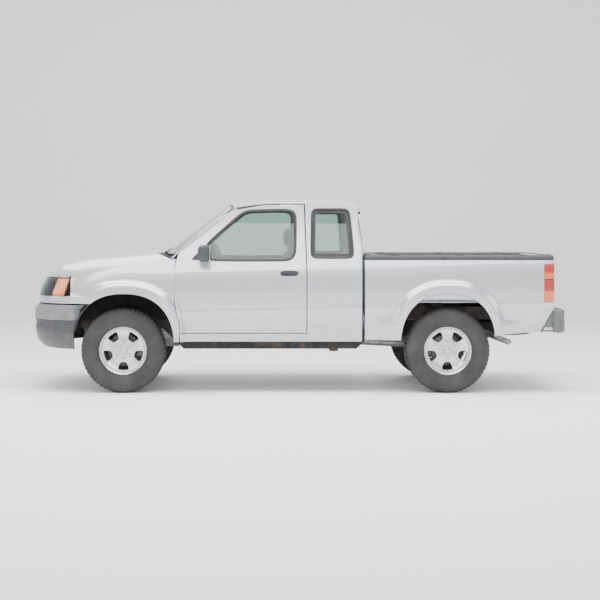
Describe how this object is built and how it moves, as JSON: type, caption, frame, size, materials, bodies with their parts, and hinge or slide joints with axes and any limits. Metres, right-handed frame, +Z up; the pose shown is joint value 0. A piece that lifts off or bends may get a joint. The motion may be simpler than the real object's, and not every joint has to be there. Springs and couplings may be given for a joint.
{
  "type": "extended-cab four-wheel-drive pickup truck",
  "caption": "Compact pickup truck with a two-door extended cab, open load bed, opening hood, doors and tailgate, and steering front wheels.",
  "frame": {"origin": "on the ground, under the middle of the truck's length and width", "axes": "+X forward, +Y to the driver's left, +Z up"},
  "size_m": [4.93, 2.0512, 1.767],
  "materials": {
    "paint": "silver-white body paint",
    "chassis_black": "black chassis paint",
    "cast": "cast iron",
    "gearbox_alloy": "cast alloy",
    "shaft_steel": "steel",
    "tyre": "tyre rubber",
    "alloy": "silver alloy wheel",
    "bumper_grey": "mid grey moulded",
    "trim_black": "dark moulded plastic",
    "grille": "bright grille",
    "lamp": "lamp housing",
    "tail_lamp": "red lamp lens",
    "glass": "tinted glass",
    "dash": "grained plastic",
    "seat_fabric": "grey cloth"
  },
  "bodies": {
    "truck": {"frame_rails": "chassis_black", "engine": "cast", "gearbox": "gearbox_alloy", "drive_shafts": "shaft_steel", "rear_axle": "chassis_black", "leaf_springs": "chassis_black", "front_suspension": "chassis_black", "exhaust": "shaft_steel", "fuel_tank": "chassis_black", "spare_wheel": "tyre", "front_bumper": "bumper_grey", "bumper_lower": "trim_black", "rear_bumper": "bumper_grey", "nose_panel": "paint", "grille": "grille", "headlights": "lamp", "tail_lights": "tail_lamp", "front_fenders": "paint", "inner_fenders": "trim_black", "cowl": "trim_black", "cab_floor": "chassis_black", "cab_sides": "paint", "cab_back": "paint", "roof": "paint", "windshield": "glass", "cab_glass": "glass", "dashboard": "dash", "seats": "seat_fabric", "bed_tub": "paint", "bed_sides": "paint", "bed_rail_caps": "trim_black"},
    "hood": {"hood": "paint"},
    "tailgate": {"tailgate": "paint"},
    "steering_wheel": {"steering_wheel": "trim_black"},
    "door_left": {"door_left": "paint", "door_glass_left": "glass", "mirror_left": "trim_black"},
    "door_right": {"door_right": "paint", "door_glass_right": "glass", "mirror_right": "trim_black"},
    "knuckle_left": {"knuckle_left": "cast"},
    "knuckle_right": {"knuckle_right": "cast"},
    "wheel_front_left": {"tyre_front_left": "tyre", "rim_front_left": "alloy"},
    "wheel_front_right": {"tyre_front_right": "tyre", "rim_front_right": "alloy"},
    "wheel_rear_left": {"tyre_rear_left": "tyre", "rim_rear_left": "alloy"},
    "wheel_rear_right": {"tyre_rear_right": "tyre", "rim_rear_right": "alloy"}
  },
  "joints": [
    {"name": "door_left", "type": "hinge", "parent": "truck", "child": "door_left", "pos_m": [1.064, 0.866, 0.8], "axis": [0, 0.124, -0.9923], "range_deg": [0, 65]},
    {"name": "door_right", "type": "hinge", "parent": "truck", "child": "door_right", "pos_m": [1.064, -0.866, 0.8], "axis": [0, 0.124, 0.9923], "range_deg": [0, 65]},
    {"name": "hood", "type": "hinge", "parent": "truck", "child": "hood", "pos_m": [1.148, 0, 1.208], "axis": [0, -1, 0], "range_deg": [0, 52]},
    {"name": "tailgate", "type": "hinge", "parent": "truck", "child": "tailgate", "pos_m": [-2.32, 0, 0.806], "axis": [0, -1, 0], "range_deg": [0, 90]},
    {"name": "steer_left", "type": "hinge", "parent": "truck", "child": "knuckle_left", "pos_m": [1.58, 0.65, 0.384], "axis": [0, 0, 1], "range_deg": [-32, 32]},
    {"name": "steer_right", "type": "hinge", "parent": "truck", "child": "knuckle_right", "pos_m": [1.58, -0.65, 0.384], "axis": [0, 0, 1], "range_deg": [-32, 32]},
    {"name": "steering_wheel", "type": "hinge", "parent": "truck", "child": "steering_wheel", "pos_m": [0.68, 0.37, 1.188], "axis": [-0.8829, 0, 0.4695], "range_deg": [-544, 544]},
    {"name": "wheel_front_left", "type": "hinge", "parent": "knuckle_left", "child": "wheel_front_left", "pos_m": [1.58, 0.725, 0.384], "axis": [0, 1, 0], "continuous": true},
    {"name": "wheel_front_right", "type": "hinge", "parent": "knuckle_right", "child": "wheel_front_right", "pos_m": [1.58, -0.725, 0.384], "axis": [0, 1, 0], "continuous": true},
    {"name": "wheel_rear_left", "type": "hinge", "parent": "truck", "child": "wheel_rear_left", "pos_m": [-1.37, 0.725, 0.384], "axis": [0, 1, 0], "continuous": true},
    {"name": "wheel_rear_right", "type": "hinge", "parent": "truck", "child": "wheel_rear_right", "pos_m": [-1.37, -0.725, 0.384], "axis": [0, 1, 0], "continuous": true}
  ],
  "couplings": [
    {"joint": "steer_right", "follows": "steer_left", "ratio": 1},
    {"joint": "steering_wheel", "follows": "steer_left", "ratio": 17}
  ]
}
